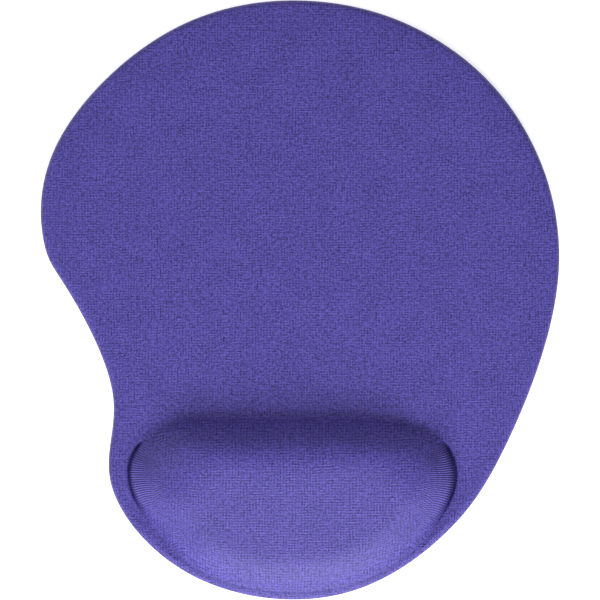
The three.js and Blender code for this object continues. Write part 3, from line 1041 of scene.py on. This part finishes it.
def stud_tree():
    tree, n, given = geometry_tree("grip_studs", {
        "Columns": "Int", "Rows": "Int", "Pitch": "Float", "Sheet thickness": "Float",
        "Stud root": "Float", "Stud tip": "Float", "Stud height": "Float", "Margin": "Float",
        "Rubber": "Material"})
    outline = given["Geometry"]
    pulled = n.add("GeometryNodeExtrudeMesh", {"Mesh": outline, "Offset Scale": given["Sheet thickness"],
                                               "Individual": False}).outputs[0]
    underside = n.add("GeometryNodeFlipFaces", {"Mesh": outline}).outputs[0]
    sheet = n.add("GeometryNodeJoinGeometry", {0: pulled})
    n.tree.links.new(underside, sheet.inputs[0])
    sheet = n.add("GeometryNodeMergeByDistance", {"Geometry": sheet.outputs[0], "Distance": 0.01 * MM})

    one_less = [n.maths("SUBTRACT", given[side], 1.0) for side in ("Columns", "Rows")]
    column_step = n.times(given["Pitch"], math.sqrt(3) / 2)
    grid = n.add("GeometryNodeMeshGrid", {
        "Size X": n.times(one_less[0], column_step), "Size Y": n.times(one_less[1], given["Pitch"]),
        "Vertices X": given["Columns"], "Vertices Y": given["Rows"]}).outputs[0]
    index = n.add("GeometryNodeInputIndex").outputs[0]
    column = n.maths("FLOOR", n.maths("DIVIDE", index, given["Rows"]))
    shift = n.times(n.maths("FLOORED_MODULO", column, 2.0), given["Pitch"], 0.5)
    shifted = n.add("GeometryNodeSetPosition", {"Geometry": grid, "Offset": n.vector(0.0, shift, 0.0)})

    place = n.add("GeometryNodeInputPosition").outputs[0]
    above = n.add("ShaderNodeVectorMath", {0: place, 1: (0, 0, 1)}, operation="ADD").outputs[0]
    hit = n.add("GeometryNodeRaycast", {"Target Geometry": outline, "Source Position": above,
                                        "Ray Direction": (0, 0, -1)}).outputs["Is Hit"]
    edge = n.add("GeometryNodeProximity", {0: outline}, target_element="EDGES").outputs["Distance"]
    clear = n.maths("GREATER_THAN", edge, given["Margin"])
    kept = n.add("FunctionNodeBooleanMath", {0: hit, 1: clear}, operation="AND").outputs[0]
    stud = n.add("GeometryNodeMeshCone", {
        "Vertices": STUD_SIDES, "Side Segments": 1, "Fill Segments": 1, "Radius Top": given["Stud root"],
        "Radius Bottom": given["Stud tip"], "Depth": given["Stud height"]}).outputs[0]
    studs = n.add("GeometryNodeInstanceOnPoints", {"Points": shifted.outputs[0], "Selection": kept,
                                                   "Instance": stud}).outputs[0]
    both = n.add("GeometryNodeJoinGeometry", {0: studs})
    n.tree.links.new(sheet.outputs[0], both.inputs[0])
    close_tree(n, both.outputs[0], given["Rubber"])
    return tree


edge = pad_line[::SHEET_OUTLINE_EVERY] - normals_of(pad_line)[::SHEET_OUTLINE_EVERY] * BASE_INSET
edge = np.column_stack([edge, np.full(len(edge), base_low.z + STUD_HEIGHT - STUD_SINK)])
grip = new_piece("grip_base_sheet", edge, [tuple(range(len(edge)))])
run_tree(grip, stud_tree(), {
    "Columns": int(PAD_WIDTH / (STUD_PITCH * math.sqrt(3) / 2)), "Rows": int(PAD_LENGTH / STUD_PITCH),
    "Pitch": STUD_PITCH, "Sheet thickness": base_high.z - base_low.z - STUD_HEIGHT + STUD_SINK,
    "Stud root": STUD_ROOT, "Stud tip": STUD_TIP, "Stud height": STUD_HEIGHT, "Margin": STUD_MARGIN,
    "Rubber": rubber_finish()})
grip.data.shade_flat()
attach(grip, BODY)
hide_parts("anti_slip_base")
print(f"grip sheet: {len(grip.data.polygons)} faces, from {coordinates(grip.data)[:, 2].min() / MM:.2f} "
      f"to {coordinates(grip.data)[:, 2].max() / MM:.2f} mm")

# %% [markdown]
# The cover is a sheet that was cut a little larger than the pad, stretched over the stack and turned
# under.

# %% [markdown]
# ## Studio
# One wide softbox stands low in front of the pad, where the user would sit, so that the back of the
# rest falls into shade and its front edge catches a highlight. A weaker one far out on the left lifts
# that side. A white surround fills the shadows, and the pad lies on a plain white desk that glows a
# little, like a light table, so that its own shadow stays pale.

# %% Light
KEY_ELEVATION = math.radians(32)
KEY_BEARING = math.radians(-86)
KEY_DISTANCE = 1.25
KEY_SIZE = (0.95, 0.72)
KEY_POWER = 26
FILL_ELEVATION = math.radians(35)
FILL_BEARING = math.radians(166)
FILL_DISTANCE = 3.0
FILL_SIZE = (1.8, 1.2)
FILL_POWER = 23
SURROUND = 0.53


def softbox(name, bearing, elevation, distance, size, power):
    """A rectangular light that stands in a direction from the pad and shines on it."""
    light = bpy.data.lights.new(name, "AREA")
    light.shape = "RECTANGLE"
    light.size, light.size_y = size
    light.energy = power
    lamp = bpy.data.objects.new(name, light)
    bpy.context.scene.collection.objects.link(lamp)
    level = math.cos(elevation)
    toward = Vector((math.cos(bearing) * level, math.sin(bearing) * level, math.sin(elevation)))
    lamp.location = toward * distance
    lamp.rotation_euler = (-toward).to_track_quat("-Z", "Y").to_euler()


scene = bpy.context.scene
scene.view_settings.view_transform = "Standard"
world = bpy.data.worlds.new("studio")
world.use_nodes = True
background = world.node_tree.nodes["Background"]
background.inputs["Color"].default_value = (1, 1, 1, 1)
background.inputs["Strength"].default_value = SURROUND
scene.world = world
softbox("key_softbox", KEY_BEARING, KEY_ELEVATION, KEY_DISTANCE, KEY_SIZE, KEY_POWER)
softbox("fill_softbox", FILL_BEARING, FILL_ELEVATION, FILL_DISTANCE, FILL_SIZE, FILL_POWER)
print(f"key {KEY_POWER} W at {KEY_DISTANCE} m, fill {FILL_POWER} W at {FILL_DISTANCE} m")

# %% Desk
DESK_HALF = 3.0
DESK_GLOW = 0.5


def desk_finish():
    material, n, place = placed_material("white_desk")
    colour = n.add("ShaderNodeMix", {"Factor": clouds(n, place, 300.0), "A": (0.90, 0.90, 0.90, 1),
                                     "B": (0.94, 0.94, 0.94, 1)}, data_type="RGBA")
    shader = n.add("ShaderNodeBsdfPrincipled", {
        "Base Color": colour.outputs["Result"], "Roughness": 0.8,
        "Emission Color": (1, 1, 1, 1), "Emission Strength": DESK_GLOW})
    n.add("ShaderNodeOutputMaterial", {"Surface": shader.outputs[0]})
    return material


corners = [(-DESK_HALF, -DESK_HALF, 0), (DESK_HALF, -DESK_HALF, 0), (DESK_HALF, DESK_HALF, 0),
           (-DESK_HALF, DESK_HALF, 0)]
desk = new_piece("desk", corners, [(0, 1, 2, 3)])
desk.data.materials.append(desk_finish())
print(f"desk {2 * DESK_HALF:.0f} m wide")

# %% [markdown]
# ## Camera
# The camera looks straight down from 1.8 m, like a product shot on a copy stand, so that the outline
# shows almost without perspective. Its lens is worked out from the width that it has to take in.

# %% Camera
CAMERA_HEIGHT = 1.8
VIEW_WIDTH = 0.2598
SENSOR = 36

camera_data = bpy.data.cameras.new("camera")
camera_data.sensor_width = SENSOR
camera_data.lens = SENSOR * (CAMERA_HEIGHT - PAD_TOP) / VIEW_WIDTH
camera = bpy.data.objects.new("camera", camera_data)
scene.collection.objects.link(camera)
camera.location = (0, 0, CAMERA_HEIGHT)
scene.camera = camera
print(f"lens {camera_data.lens:.0f} mm")
